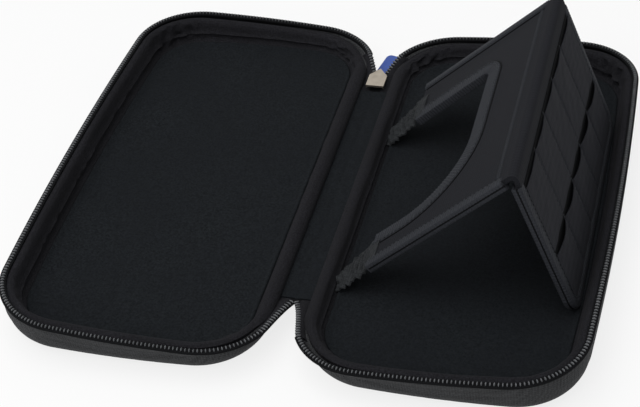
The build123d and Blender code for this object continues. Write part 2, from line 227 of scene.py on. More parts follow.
# Canvas on the boards: fine even weave that goes lighter where the light grazes it
fineCanvas = clothMaterial("fineCanvas", {
    "dark": "#0d0e11", "light": "#26272b", "tone": "#191a1e", "pitch": 1.1, "fibre": 0.6, "cloud": 35,
    "height": 0.15, "rough": 0.8, "gloss": 0.05})
# Stretch jersey of the card pockets: soft, slightly lighter than the board
stretchJersey = clothMaterial("stretchJersey", {
    "dark": "#111215", "light": "#323338", "tone": "#212226", "pitch": 1.5, "fibre": 0.7, "cloud": 25,
    "height": 0.15, "rough": 0.82, "gloss": 0.05})
# Grosgrain binding: ribbed polyester tape with a dull shine on each rib
grosgrain = clothMaterial("grosgrain", {
    "dark": "#15161a", "light": "#383a3f", "tone": "#26282c", "pitch": 0.7, "fibre": 0.5, "cloud": 20,
    "bump": 0.5, "height": 0.10, "rough": 0.7, "gloss": 0.08})
# Covered elastic: knitted round rubber threads, dull and crimped
coveredElastic = clothMaterial("coveredElastic", {
    "dark": "#101113", "light": "#383a3c", "tone": "#232527", "pitch": 1.0, "fibre": 0.6, "cloud": 15,
    "bump": 0.7, "height": 0.15, "rough": 0.8, "gloss": 0.07})
# Sewing thread: polyester, a shade lighter than the cloth it holds
polyesterThread = clothMaterial("polyesterThread", {
    "dark": "#1f2124", "light": "#3d4045", "tone": "#2e3136", "pitch": 0.5, "fibre": 0.3, "cloud": 12,
    "worn": 0.3, "bump": 0.4, "height": 0.05, "rough": 0.6, "gloss": 0.15})

# Hard finishes: a base colour that drifts, scuffs in the roughness, a shallow bump
hardLook = {"grainDetail": 4.0, "driftDetail": 2.0, "roughSpan": (-0.08, 0.12), "bump": 0.3}


def hardMaterial(name, finish):
    material, tree, shader = newMaterial(name)
    place = addNode(tree, "ShaderNodeTexCoord").outputs["Object"]
    grain = mottle(tree, place, finish["grain"], hardLook["grainDetail"])
    drift = mottle(tree, place, finish["drift"], hardLook["driftDetail"])
    colour = mixColours(tree, drift, {6: linear(finish["dark"]), 7: linear(finish["light"])})
    rough = remap(tree, grain, end=[finish["rough"] + change for change in hardLook["roughSpan"]])
    bump = addNode(tree, "ShaderNodeBump", None, {"Strength": hardLook["bump"], "Distance": finish["height"] * mm},
                   {"Height": grain}).outputs[0]
    coat(tree, shader, colour, rough, bump)
    shader.inputs["Metallic"].default_value = finish["metal"]
    return material


# Nylon coil: moulded monofilament, dark grey, catches a small highlight on each turn
nylonCoil = hardMaterial("nylonCoil", {
    "dark": "#36383a", "light": "#626467", "grain": 0.5, "drift": 4, "rough": 0.38, "height": 0.02, "metal": 0.0})
# Plated zinc slider: cast, tumbled and nickel plated, warm grey with soft highlights
platedZinc = hardMaterial("platedZinc", {
    "dark": "#8f877c", "light": "#b3aa9d", "grain": 0.8, "drift": 5, "rough": 0.36, "height": 0.03, "metal": 1.0})
# Soft PVC pull tab: moulded, matt, deep blue
softPvc = hardMaterial("softPvc", {
    "dark": "#1f3a86", "light": "#35559f", "grain": 0.6, "drift": 8, "rough": 0.55, "height": 0.04, "metal": 0.0})
print("materials are mixed")

# Meshes from rows of points in millimetres, sharp past an angle in degrees
meshing = {"join": 0.02, "collapse": 0.01, "sharp": 50, "sharpPadded": 75, "sharpGrown": 26}


def meshFromRows(name, rows, materials, wrapRows=False, capRows=False, columnMaterial=None, sharp=meshing["sharp"]):
    shape = bmesh.new()
    corners = [[shape.verts.new(Vector(p) * mm) for p in row] for row in rows]
    rowCount, columnCount = len(rows), len(rows[0])
    for r in range(rowCount if wrapRows else rowCount - 1):
        first, second = corners[r], corners[(r + 1) % rowCount]
        for c in range(columnCount):
            d = (c + 1) % columnCount
            face = shape.faces.new((first[c], first[d], second[d], second[c]))
            if columnMaterial:
                face.material_index = columnMaterial[c]
    if capRows:  # a flat loop closes as a ladder between its two runs
        for row in (corners[0], corners[-1]):
            for c in range(columnCount // 2 - 1):
                shape.faces.new((row[c], row[c + 1], row[columnCount - 2 - c], row[columnCount - 1 - c]))
    bmesh.ops.remove_doubles(shape, verts=shape.verts, dist=meshing["join"] * mm)
    bmesh.ops.dissolve_degenerate(shape, edges=shape.edges, dist=meshing["collapse"] * mm)
    bmesh.ops.recalc_face_normals(shape, faces=shape.faces)
    for face in shape.faces:
        face.smooth = True
    mesh = bpy.data.meshes.new(name)
    shape.to_mesh(mesh)
    shape.free()
    mesh.set_sharp_from_angle(angle=math.radians(sharp))
    for material in materials:
        mesh.materials.append(material)
    piece = bpy.data.objects.new(name, mesh)
    scene.collection.objects.link(piece)
    return piece


def dressNode(nodeName, material):
    for place in nodes[nodeName].material_slots:
        place.material = material
    if not nodes[nodeName].material_slots:
        nodes[nodeName].data.materials.append(material)


# Geometry Nodes: what both trees start and end with
def openTree(name, sockets):
    tree = bpy.data.node_groups.new(name, "GeometryNodeTree")
    for label, kind in (("Geometry", "NodeSocketGeometry"), *sockets):
        tree.interface.new_socket(label, in_out="INPUT", socket_type=kind)
    tree.interface.new_socket("Geometry", in_out="OUTPUT", socket_type="NodeSocketGeometry")
    given = addNode(tree, "NodeGroupInput").outputs
    path = addNode(tree, "GeometryNodeMeshToCurve", None, None, {"Mesh": given["Geometry"]}).outputs[0]
    return tree, given, path


def closeTree(tree, shape, finish):
    smooth = addNode(tree, "GeometryNodeSetShadeSmooth", None, None, {"Geometry": shape})
    real = addNode(tree, "GeometryNodeRealizeInstances", None, None, {"Geometry": smooth.outputs[0]})
    painted = addNode(tree, "GeometryNodeSetMaterial", None, None, {"Geometry": real.outputs[0], "Material": finish})
    addNode(tree, "NodeGroupOutput", None, None, {"Geometry": painted.outputs[0]})
    return tree


# A row of rounded beads along a path, for zipper teeth and stitches
def beadTree():
    tree, given, path = openTree("beadsAlongPath", (
        ("Pitch", "NodeSocketFloat"), ("Bead Size", "NodeSocketVector"), ("Bead Finish", "NodeSocketMaterial")))
    spaced = addNode(tree, "GeometryNodeResampleCurve", {"mode": "LENGTH"}, None,
                     {"Curve": path, "Length": given["Pitch"]})
    bead = addNode(tree, "GeometryNodeMeshIcoSphere", None, {"Radius": 0.5, "Subdivisions": 2})
    sized = addNode(tree, "GeometryNodeTransform", None, None,
                    {"Geometry": bead.outputs["Mesh"], "Scale": given["Bead Size"]})
    run = addNode(tree, "GeometryNodeInputTangent")
    facing = addNode(tree, "FunctionNodeAlignRotationToVector", {"axis": "Y", "pivot_axis": "Z"}, None,
                     {"Vector": run.outputs[0]})
    placed = addNode(tree, "GeometryNodeInstanceOnPoints", None, None,
                     {"Points": spaced.outputs[0], "Instance": sized.outputs[0], "Rotation": facing.outputs[0]})
    return closeTree(tree, placed.outputs[0], given["Bead Finish"])


# A rounded tape swept along a path, with ribs across it
tapeMesh = {"stepsPerRib": 6.0, "cornerPoints": 3}


def ribTree():
    lengths = ("Width", "Height", "Edge Round", "Rib Pitch", "Rib Depth")
    tree, given, path = openTree("ribbedTape", (
        *((label, "NodeSocketFloat") for label in lengths), ("Tape Finish", "NodeSocketMaterial")))
    step = scalar(tree, "DIVIDE", {1: tapeMesh["stepsPerRib"]}, {0: given["Rib Pitch"]})
    spaced = addNode(tree, "GeometryNodeResampleCurve", {"mode": "LENGTH"}, None, {"Curve": path, "Length": step})
    level = addNode(tree, "GeometryNodeSetCurveNormal", {"mode": "Z_UP"}, None, {"Curve": spaced.outputs[0]})
    along = addNode(tree, "GeometryNodeSplineParameter")
    turns = scalar(tree, "DIVIDE", None, {0: along.outputs["Length"], 1: given["Rib Pitch"]})
    wave = scalar(tree, "SINE", None, {0: scalar(tree, "MULTIPLY", {1: 2 * math.pi}, {0: turns})})
    swell = scalar(tree, "MULTIPLY_ADD", {2: 1.0}, {0: wave, 1: given["Rib Depth"]})
    block = addNode(tree, "GeometryNodeCurvePrimitiveQuadrilateral", {"mode": "RECTANGLE"}, None,
                    {"Width": given["Width"], "Height": given["Height"]})
    rounded = addNode(tree, "GeometryNodeFilletCurve", {"mode": "POLY"},
                      {"Limit Radius": True, "Count": tapeMesh["cornerPoints"]},
                      {"Curve": block.outputs[0], "Radius": given["Edge Round"]})
    swept = addNode(tree, "GeometryNodeCurveToMesh", None, {"Fill Caps": True},
                    {"Curve": level.outputs[0], "Profile Curve": rounded.outputs[0], "Scale": swell})
    return closeTree(tree, swept.outputs[0], given["Tape Finish"])


beadsAlongPath = beadTree()
ribbedTape = ribTree()


def growAlong(name, paths, tree, inputs, placement=None):
    points, edges = [], []
    for path in paths:
        start = len(points)
        points += [Vector(p) * mm for p in path]
        edges += [(start + i, start + i + 1) for i in range(len(path) - 1)]
    line = bpy.data.meshes.new(name + "Path")
    line.from_pydata(points, edges, [])
    piece = bpy.data.objects.new(name, line)
    scene.collection.objects.link(piece)
    grow = piece.modifiers.new("grow", "NODES")
    grow.node_group = tree
    for socket in tree.interface.items_tree:
        if socket.in_out == "INPUT" and socket.name in inputs:
            grow[socket.identifier] = inputs[socket.name]
    mesh = bpy.data.meshes.new_from_object(piece.evaluated_get(bpy.context.evaluated_depsgraph_get()))
    piece.modifiers.remove(grow)
    piece.data = mesh
    mesh.set_sharp_from_angle(angle=math.radians(meshing["sharpGrown"]))
    bpy.data.meshes.remove(line)
    if placement:
        mesh.transform(placement)
    return piece


def beadRow(name, paths, pitch, size, finish, placement=None):
    inputs = {"Pitch": pitch * mm, "Bead Size": [s * mm for s in size], "Bead Finish": finish}
    return growAlong(name, paths, beadsAlongPath, inputs, placement)


def tapeRun(name, paths, sizes, finish, placement=None):  # sizes: width, height, edge round, rib pitch, rib depth
    lengths = ("Width", "Height", "Edge Round", "Rib Pitch")
    inputs = {label: size * mm for label, size in zip(lengths, sizes)}
    inputs.update({"Rib Depth": sizes[-1], "Tape Finish": finish})
    return growAlong(name, paths, ribbedTape, inputs, placement)


# Plan of a tray: straight along the spine, three bowed sides, round corners
tray = {"width": 137.2, "length": 268.0, "spineEdge": 8.2, "corner": 35.0, "bulge": 4.0, "rim": 15.0,
        "floor": 9.5, "teethLow": 17.0, "teethRise": 7.3, "flare": 2.0,
        "spineNear": 8.0, "spineEnd": 113.0, "spineFade": 14.0,
        "steps": {"spine": 40, "corner": 64, "end": 64, "outer": 60}}
tilt = math.atan2(tray["teethRise"], tray["width"])


def circleThrough(a, b, c):
    d = 2 * (a[0] * (b[1] - c[1]) + b[0] * (c[1] - a[1]) + c[0] * (a[1] - b[1]))
    aa, bb, cc = (p[0] ** 2 + p[1] ** 2 for p in (a, b, c))
    middle = Vector(((aa * (b[1] - c[1]) + bb * (c[1] - a[1]) + cc * (a[1] - b[1])) / d,
                     (aa * (c[0] - b[0]) + bb * (a[0] - c[0]) + cc * (b[0] - a[0])) / d))
    return middle, (Vector(a) - middle).length


def arcPoints(middle, start, end, count):
    radius = (start - middle).length
    first = math.atan2(start.y - middle.y, start.x - middle.x)
    sweep = math.atan2(end.y - middle.y, end.x - middle.x) - first
    return [middle + radius * Vector((math.cos(first + sweep * i / count), math.sin(first + sweep * i / count)))
            for i in range(count)]


def trayOutline(inset, flare=0.0):
    near, far = inset - 2 * flare, tray["width"] - inset
    half = tray["length"] / 2 - inset + flare
    shoulder = Vector((far - tray["bulge"], half - tray["bulge"]))
    radius = tray["corner"] - inset + flare
    endMiddle, endRadius = circleThrough((near, shoulder.y), ((near + far) / 2, half), shoulder)
    sideMiddle, sideRadius = circleThrough(shoulder, (far, 0), (shoulder.x, -shoulder.y))
    reach = endRadius - radius
    spineCorner = Vector((near + radius, 0))
    spineCorner.y = endMiddle.y + math.sqrt(reach ** 2 - (spineCorner.x - endMiddle.x) ** 2)
    between = sideMiddle - endMiddle
    along = (reach ** 2 - (sideRadius - radius) ** 2 + between.length_squared) / (2 * between.length)
    off = math.sqrt(reach ** 2 - along ** 2)
    unit = between.normalized()
    sides = [endMiddle + unit * along + Vector((-unit.y, unit.x)) * off * turn for turn in (-1, 1)]
    outerCorner = max(sides, key=lambda p: p.x + p.y)
    spineTouch = Vector((near, spineCorner.y))
    endTouch = endMiddle + (spineCorner - endMiddle) * endRadius / reach
    endLeave = endMiddle + (outerCorner - endMiddle) * endRadius / reach
    sideTouch = sideMiddle + (outerCorner - sideMiddle) * sideRadius / (sideRadius - radius)
    steps = tray["steps"]
    points = [Vector((near, spineTouch.y * i / steps["spine"])) for i in range(steps["spine"])]
    points += arcPoints(spineCorner, spineTouch, endTouch, steps["corner"])
    points += arcPoints(endMiddle, endTouch, endLeave, steps["end"])
    points += arcPoints(outerCorner, endLeave, sideTouch, steps["corner"])
    points += arcPoints(sideMiddle, sideTouch, Vector((far, 0)), steps["outer"]) + [Vector((far, 0))]
    return points + [Vector((p.x, -p.y)) for p in reversed(points[1:-1])]


def onTeeth(side, point, lift=0.0):
    return Vector((side * (tray["spineEdge"] + point.x * math.cos(tilt) - lift * math.sin(tilt)), point.y,
                   tray["teethLow"] + point.x * math.sin(tilt) + lift * math.cos(tilt)))


plan = trayOutline(0.0)
planCount = len(plan)
stepStops = [0]
for key in ("spine", "corner", "end", "corner", "outer"):
    stepStops.append(stepStops[-1] + tray["steps"][key])


def cornerShare(index):  # 1 in the middle of a round corner, 0 along the sides
    index = min(index, planCount - index)
    for first, last in ((1, 2), (3, 4)):
        if stepStops[first] <= index <= stepStops[last]:
            return math.sin(math.pi * (index - stepStops[first]) / (stepStops[last] - stepStops[first]))
    return 0.0


def spineShare(point):  # 1 along the spine, 0 past the round corners
    return smoothStep((tray["spineEnd"] - abs(point.y)) / tray["spineFade"]) if point.x < tray["spineNear"] else 0.0


# Padded lining: rolled rim, wall, puckered lower band, tucked in at the floor
lining = {
    "profile": [(2.0, 0.30, 0.0), (1.9, 0.92, 0.0), (2.3, 1.0, -1.0), (3.0, 1.0, -0.5), (3.9, 1.0, -0.3),
                (4.9, 1.0, -0.6), (5.7, 0.96, -0.7), (6.2, 0.86, 0.0), (6.6, 0.73, 0.0), (7.0, 0.59, 0.0),
                (7.5, 0.47, 0.0), (8.3, 0.41, 0.0), (7.5, 0.35, 0.0), (7.3, 0.25, 0.0), (7.8, 0.13, 0.0),
                (8.9, 0.05, 0.0), (9.9, 0.0, -0.1), (9.9, 0.0, -1.0), (3.0, 0.0, -1.0)], "foot": 9.9,
    "spineProfile": [(-0.2, 12.4), (-0.5, 14.4), (0.1, 16.1), (1.8, 17.1), (3.1, 17.8), (4.8, 17.5), (6.0, 16.6)],
    "wrinkle": [0, 0, 0.1, 0.2, 0.3, 0.5, 0.7, 0.9, 1.0, 1.0, 0.9, 0.7, 1.0, 0.9, 0.4, 0.1, 0, 0, 0],
    "wrinkleDepth": 2.5, "wrinklePitch": 5.5, "puckerDepth": 1.4, "waveDepth": 0.4, "nearShare": 0.3, "fill": 0.7,
    "grain": 6.0, "waveGrain": 0.25, "puckerGrain": 1.4, "puckerLeast": 0.3, "puckerRings": range(11, 16),
    "sideSeed": 7.3, "ringSeed": 0.5}
# Floor panel: soft ridge round its edge, faint hollows over its flat
panel = {"edge": [(9.6, 8.7), (9.5, 9.7), (9.9, 10.35), (10.6, 10.45), (11.3, 10.05), (12.2, 9.7)], "under": 8.6,
         "flat": 9.55, "shares": [0.06, 0.14, 0.24, 0.36, 0.5, 0.66, 0.83, 1.0], "fill": 0.35,
         "ridge": (0.12, 9.0, 2.7), "hollow": (0.18, 28.0, 1.9)}
# Zipper: tape from the shell's rim to the coil, teeth on its edge
zipper = {"tapeInset": 0.3, "tapeThickness": 1.1, "tapeSteps": 8, "belly": 0.15, "blackSteps": (1, 3),
          "footOut": 0.1, "footIn": 0.3, "footDrop": 0.7, "coilInset": 0.95, "coilLift": 0.9, "pitch": 1.9,
          "tooth": (2.1, 0.8, 1.6), "cord": (3.5, 1.2, 0.4, 4.0, 0.0),
          "spineGap": 8.8, "spineClear": (25.7, 100.0), "endStep": 3}


def linePlan(insets):
    return {inset: trayOutline(inset) for inset in insets}


liningPlans = linePlan({row[0] for row in lining["profile"]} | {row[0] for row in lining["spineProfile"]})
panelPlans = linePlan({row[0] for row in panel["edge"]})
coilPlan = trayOutline(zipper["coilInset"], tray["flare"])
tapeTopPlans = [trayOutline(zipper["tapeInset"] + t, tray["flare"]) for t in (0, zipper["tapeThickness"])]
tapeFootPlans = [trayOutline(t) for t in (-zipper["footOut"], zipper["tapeThickness"] + zipper["footIn"])]


def runsFree(i):  # True where the coil is off the spine
    across = tray["spineEdge"] + coilPlan[i].x
    clearAcross, clearAlong = zipper["spineClear"]
    return across > zipper["spineGap"] and not (across < clearAcross and abs(coilPlan[i].y) < clearAlong)


openRun = [i for i in range(planCount) if runsFree(i)]


def liningRow(side, ring):
    inset, share, lift = lining["profile"][ring]
    spineRow = lining["spineProfile"][ring] if ring < len(lining["spineProfile"]) else None
    grain, least = lining["grain"], lining["puckerLeast"]
    row = []
    for i in range(planCount):
        point = liningPlans[inset][i].copy()
        height = tray["floor"] + (tray["teethLow"] + point.x * math.tan(tilt) - tray["floor"]) * share + lift
        inward = (liningPlans[lining["foot"]][i] - plan[i]).normalized()
        seed = Vector((plan[i].x / grain, plan[i].y / grain, side * lining["sideSeed"] + ring * lining["ringSeed"]))
        bunched = cornerShare(i) * (1.0 if plan[i].y > 0 else lining["nearShare"])
        fold = noise.noise(seed * grain / lining["wrinklePitch"]) * lining["wrinkleDepth"] * bunched
        slow = noise.noise(seed * lining["waveGrain"]) * lining["waveDepth"]
        pucker = 0.0
        if ring in lining["puckerRings"]:
            pucker = noise.noise(seed * lining["puckerGrain"]) * lining["puckerDepth"] * (least + (1 - least) * bunched)
        point += inward * (fold + slow + pucker) * lining["wrinkle"][ring]
        if spineRow:
            nearSpine = spineShare(plan[i])
            point = point.lerp(liningPlans[spineRow[0]][i], nearSpine)
            height += (spineRow[1] - height) * nearSpine
        row.append((side * (tray["spineEdge"] + point.x), point.y, height))
    return row


def panelRise(kind, point, side):  # depth, pitch, seed
    depth, pitch, seed = panel[kind]
    return depth * noise.noise(Vector((point.x / pitch, point.y / pitch, side * seed)))


def panelRows(side):
    middle = tray["width"] / 2
    reach = tray["length"] / 2 - middle
    core = [Vector((middle, max(-reach, min(reach, p.y)))) for p in plan]
    rows = [[(side * (tray["spineEdge"] + c.x), c.y, panel["under"]) for c in core]]
    for inset, height in panel["edge"]:
        rows.append([])
        for p in panelPlans[inset]:
            rows[-1].append((side * (tray["spineEdge"] + p.x), p.y, height + panelRise("ridge", p, side)))
    for share in panel["shares"]:
        rows.append([])
        for p, c in zip(panelPlans[panel["edge"][-1][0]], core):
            q = p.lerp(c, share)
            rows[-1].append((side * (tray["spineEdge"] + q.x), q.y, panel["flat"] + panelRise("hollow", q, side)))
    return rows


def tapeRow(side, i):
    outer, inner = [], []
    away = (plan[i] - liningPlans[lining["foot"]][i]).normalized()
    outward = Vector((side * away.x, away.y, 0))
    for step in range(zipper["tapeSteps"] + 1):
        share = step / zipper["tapeSteps"]
        belly = zipper["belly"] * math.sin(math.pi * share)
        for run, foot, top in zip((outer, inner), tapeFootPlans, tapeTopPlans):
            low = Vector((side * (tray["spineEdge"] + foot[i].x), foot[i].y, tray["rim"] - zipper["footDrop"]))
            run.append(low.lerp(onTeeth(side, top[i]), share) + outward * belly)
    return outer + inner[::-1]


stepsUp = zipper["tapeSteps"]
blackFrom, blackTo = stepsUp - zipper["blackSteps"][0], stepsUp + zipper["blackSteps"][1]
tapeCloths = [1 if blackFrom <= c <= blackTo else 0 for c in range(2 * stepsUp + 2)]
coilEnds = {}
for bodyName, side in (("base", 1), ("lid", -1)):
    rows = [liningRow(side, ring) for ring in range(len(lining["profile"]))]
    wall = meshFromRows(bodyName + "Lining", rows, [brushedTricot], wrapRows=True, sharp=meshing["sharpPadded"])
    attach(wall, bodyName)
    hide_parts(bodyName + "_lining")

    bed = meshFromRows(bodyName + "FloorPanel", panelRows(side), [heatheredTricot], sharp=meshing["sharpPadded"])
    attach(bed, bodyName)
    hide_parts(bodyName + "_floor_pad")

    tape = meshFromRows(bodyName + "ZipperTape", [tapeRow(side, i) for i in openRun], [wovenPolyester, polyesterTape],
                        capRows=True, columnMaterial=tapeCloths)
    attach(tape, bodyName)
    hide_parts(bodyName + "_zipper_tape")

    coilLine = [onTeeth(side, coilPlan[i], zipper["coilLift"]) for i in openRun]
    endStep = zipper["endStep"]
    coilEnds[side] = {1: (coilLine[0], coilLine[endStep]), -1: (coilLine[-1], coilLine[-1 - endStep])}
    teeth = beadRow(bodyName + "ZipperTeeth", [coilLine], zipper["pitch"], zipper["tooth"], nylonCoil)
    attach(teeth, bodyName)
    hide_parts(bodyName + "_zipper_coil")
    cordLine = [onTeeth(side, coilPlan[i]) for i in openRun]
    cord = tapeRun(bodyName + "CoilCord", [cordLine], zipper["cord"], polyesterTape)
    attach(cord, bodyName)
    dressNode(bodyName + "_shell", wovenPolyester)
print("trays are lined and zipped")

# Spine: cloth between the trays, folded once along its middle, hemmed at both ends
spine = {"half": 8.2, "reach": 85.0, "top": 13.1, "thickness": 1.5, "sag": 0.5, "foldDepth": 0.35, "foldWidth": 1.3,
         "hem": 4.0, "hemRise": 0.45, "hemFade": 0.8, "wave": 0.12, "wavePitch": (4.0, 9.0), "waveSeed": 5.1,
         "fill": 0.2, "columns": 24, "rows": 140}


def spineTop(x, y):
    out = x / spine["half"]
    height = spine["top"] - spine["sag"] * (1 - out ** 2)
    height -= spine["foldDepth"] * math.exp(-(x / spine["foldWidth"]) ** 2)
    height += spine["hemRise"] * easeFrom(abs(y) - spine["reach"], (-spine["hem"], spine["hemFade"])) * (1 - out ** 4)
    acrossPitch, alongPitch = spine["wavePitch"]
    return height + spine["wave"] * noise.noise(Vector((x / acrossPitch, y / alongPitch, spine["waveSeed"])))



rows = []
for r in range(spine["rows"] + 1):
    y = spine["reach"] * (2 * r / spine["rows"] - 1)
    across = [spine["half"] * (2 * c / spine["columns"] - 1) for c in range(spine["columns"] + 1)]
    top = [(x, y, spineTop(x, y)) for x in across]
    rows.append(top + [(x, y, z - spine["thickness"]) for x, y, z in reversed(top)])
spineCloth = meshFromRows("spineCloth", rows, [heatheredTricot], capRows=True)
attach(spineCloth, "spine")
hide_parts("spine_strip")

# Tape ends: each leg runs from the spine to the corner of its tray, with teeth on its inner edge
tapeEnds = {"near": {"tip": (1.3, -89.0, 14.4), "bend": (5.6, -98.0, 15.6), "tongue": 8.0},
            "far": {"tip": (2.2, 98.5, 13.2), "bend": (4.6, 104.0, 15.4), "tongue": 17.0}, "steps": 26, "across": 6,
            "thickness": 1.0, "pitch": 1.9, "tooth": (2.8, 0.8, 1.4), "tuck": 4.5, "puff": 1.5, "lead": 3.0,
            "root": 8.8, "spread": 1.5, "past": 0.3, "outerLow": 12.9, "outerFrom": 15.6, "behindTeeth": 1.2,
            "tongueHalf": 8.6, "tongueLevel": 12.4, "blackColumns": 2, "stiffSteps": 8}
across = tapeEnds["across"]
endCloths = [1 if min(c, 2 * across - c) < tapeEnds["blackColumns"] else 0 for c in range(2 * across + 2)]
for endName, way in (("near", -1), ("far", 1)):
    end = tapeEnds[endName]
    for bodyName, side in (("base", 1), ("lid", -1)):
        tip, bend = (Vector((side * p[0], p[1], p[2])) for p in (end["tip"], end["bend"]))
        last, beyond = coilEnds[side][way]
        lead = last + (last - beyond).normalized() * tapeEnds["lead"]
        leg = []
        for i in range(tapeEnds["steps"] + 1):
            t = i / tapeEnds["steps"]
            leg.append(tip * (1 - t) ** 3 + bend * 3 * t * (1 - t) ** 2 + lead * 3 * t * t * (1 - t) + last * t ** 3)
        rows = []
        for i, p in enumerate(leg):
            t = i / tapeEnds["steps"]
            reach = tapeEnds["root"] + (abs(last.x) + tapeEnds["tuck"] - tapeEnds["root"]) * t ** tapeEnds["spread"]
            level = tapeEnds["outerLow"] + (last.z - tapeEnds["outerFrom"]) * t
            outer = Vector((side * reach, p.y + way * tapeEnds["past"], level))
            inner = Vector((side * max(0.0, abs(p.x) - tapeEnds["behindTeeth"]), p.y, p.z - zipper["coilLift"]))
            run = [(inner, outer)]
            if i == 0:  # a tongue goes back under the spine cloth
                low, half = tapeEnds["tongueLevel"], tapeEnds["tongueHalf"]
                hidden = [tip.y - way * end["tongue"] * share for share in (1.0, 0.5)]
                run = [(Vector((0, y, low)), Vector((side * half, y, low))) for y in hidden] + run
            for a, b in run:
                puff = tapeEnds["puff"] if a is inner else 0.0
                top = [a.lerp(b, s / across) + Vector((0, 0, puff * math.sin(math.pi * s / across)))
                       for s in range(across + 1)]
                rows.append(top + [q - Vector((0, 0, tapeEnds["thickness"])) for q in reversed(top)])
        label = endName + bodyName.capitalize()
        web = meshFromRows(label + "TapeEnd", rows, [brushedTricot, polyesterTape], capRows=True,
                           columnMaterial=endCloths)
        legTeeth = beadRow(label + "EndTeeth", [leg], tapeEnds["pitch"], tapeEnds["tooth"], nylonCoil)
        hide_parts("zipper_end_" + endName)
        for piece in (web, legTeeth):
            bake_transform(piece)
for nodeName, material in (("zipper_slider", platedZinc), ("pull_link", platedZinc), ("pull_tab", softPvc)):
    dressNode(nodeName, material)
print("spine and zipper ends stand")

# Stand: local places are along the slope, along the case, and out of the board
boards = {"hinge": (19.963, 2.2, 10.6), "standAngle": 42.4, "crease": (101.562, 2.2, 85.110), "flapAngle": 69.365,
          "half": 75.0, "strap": 20.0, "reach": 110.5, "flapLength": 80.377, "panel": 4.0, "gap": 2.0,
          "cornerSteps": 16}


def boardPlace(origin, angle):
    slope = math.radians(angle)
    run = Vector((math.cos(slope), 0, math.sin(slope)))
    out = Vector((-math.sin(slope), 0, math.cos(slope)))
    turn = Matrix((run, Vector((0, 1, 0)), out)).transposed().to_4x4()
    turn.translation = Vector(origin) * mm
    return turn


standPlace = boardPlace(boards["hinge"], boards["standAngle"])
flapPlace = boardPlace(boards["crease"], -boards["flapAngle"])


def fromBoard(placement, s, y, n):
    return (placement @ (Vector((s, y, n)) * mm)) / mm


def clothLoop(placement, top, thickness):  # the top of a cloth and its underside
    drop = fromBoard(placement, 0, 0, thickness) - fromBoard(placement, 0, 0, 0)
    return top + [p - drop for p in reversed(top)]


for nodeName in ("stand_board", "flap_board"):
    dressNode(nodeName, fineCanvas)


def roundRun(corners):  # points joined by straight runs, each corner given with its radius
    path = [Vector(corners[0][:2])]
    for i in range(1, len(corners) - 1):
        corner, radius = Vector(corners[i][:2]), corners[i][2]
        before = (Vector(corners[i - 1][:2]) - corner).normalized()
        after = (Vector(corners[i + 1][:2]) - corner).normalized()
        middle = corner + (before + after) * radius
        for k in range(boards["cornerSteps"] + 1):
            t = math.pi / 2 * k / boards["cornerSteps"]
            path.append(middle - after * radius * math.cos(t) - before * radius * math.sin(t))
    return path + [Vector(corners[-1][:2])]


cutout = {"foot": 20.5, "near": -51.7, "far": 41.8, "reach": 75.0, "sweep": 38.0, "corner": 6.0}


def cutRun(grow):
    near, far, reach = cutout["near"] - grow, cutout["far"] + grow, cutout["reach"] + grow
    return roundRun([(cutout["foot"], near), (reach, near, cutout["sweep"] + grow),
                     (reach, far, cutout["corner"] + grow), (cutout["foot"], far)])


def bentRun(top, foot, half, radius):  # down one side, across the foot and up the other
    return roundRun([(top, -half), (foot, -half, radius), (foot, half, radius), (top, half)])


def atLevel(path, height):
    return [(p.x, p.y, height) for p in path]


# Bindings: grosgrain folded over each free edge, with a dark seam beside it
binding = {"tape": (5.7, 4.9, 1.1, 1.7, 0.03), "inset": 2.35, "flapRound": 7.6,
           "cutTape": (8.2, 4.6, 0.6, 1.7, 0.045), "cutInset": 3.7, "cutSeam": 8.3,
           "seam": (0.9, 0.9, 0.25, 1.7, 0.0), "seamLevel": 3.55, "seamInset": 5.6, "seamRun": (21.0, 108.0),
           "sideSeam": 75.2, "sideLevel": 2.3, "sideRun": (21.0, 109.0), "sideTop": 1.5, "sidePast": 0.2,
           "sideRound": 10.0}
mid = boards["panel"] / 2
edge = boards["half"] - binding["inset"]
standEdges = [[(s, way * edge, mid) for s in (boards["strap"], boards["reach"] - boards["gap"])] for way in (-1, 1)]
standBinding = tapeRun("standBinding", standEdges, binding["tape"], grosgrain, standPlace)
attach(standBinding, "stand")
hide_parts("stand_binding")
cutEdge = atLevel(cutRun(binding["cutInset"]), mid)
cutBinding = tapeRun("cutoutBinding", [cutEdge], binding["cutTape"], grosgrain, standPlace)
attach(cutBinding, "stand")
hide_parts("cutout_binding")
foot = boards["flapLength"] - binding["inset"]
flapEdge = atLevel(bentRun(boards["gap"], foot, edge, binding["flapRound"]), mid)
flapBinding = tapeRun("flapBinding", [flapEdge], binding["tape"], grosgrain, flapPlace)
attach(flapBinding, "flap")
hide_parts("flap_binding")
seamEdge, sideEdge = boards["half"] - binding["seamInset"], binding["sideSeam"]
seamRuns = [atLevel(cutRun(binding["cutSeam"]), binding["seamLevel"])]
for way in (-1, 1):
    seamRuns.append([(s, way * seamEdge, binding["seamLevel"]) for s in binding["seamRun"]])
    seamRuns.append([(s, way * sideEdge, binding["sideLevel"]) for s in binding["sideRun"]])
standSeams = tapeRun("standSeams", seamRuns, binding["seam"], polyesterTape, standPlace)
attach(standSeams, "stand")
sideRun = bentRun(binding["sideTop"], boards["flapLength"] + binding["sidePast"], sideEdge, binding["sideRound"])
flapSeams = tapeRun("flapSeams", [atLevel(sideRun, binding["sideLevel"])], binding["seam"], polyesterTape, flapPlace)
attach(flapSeams, "flap")

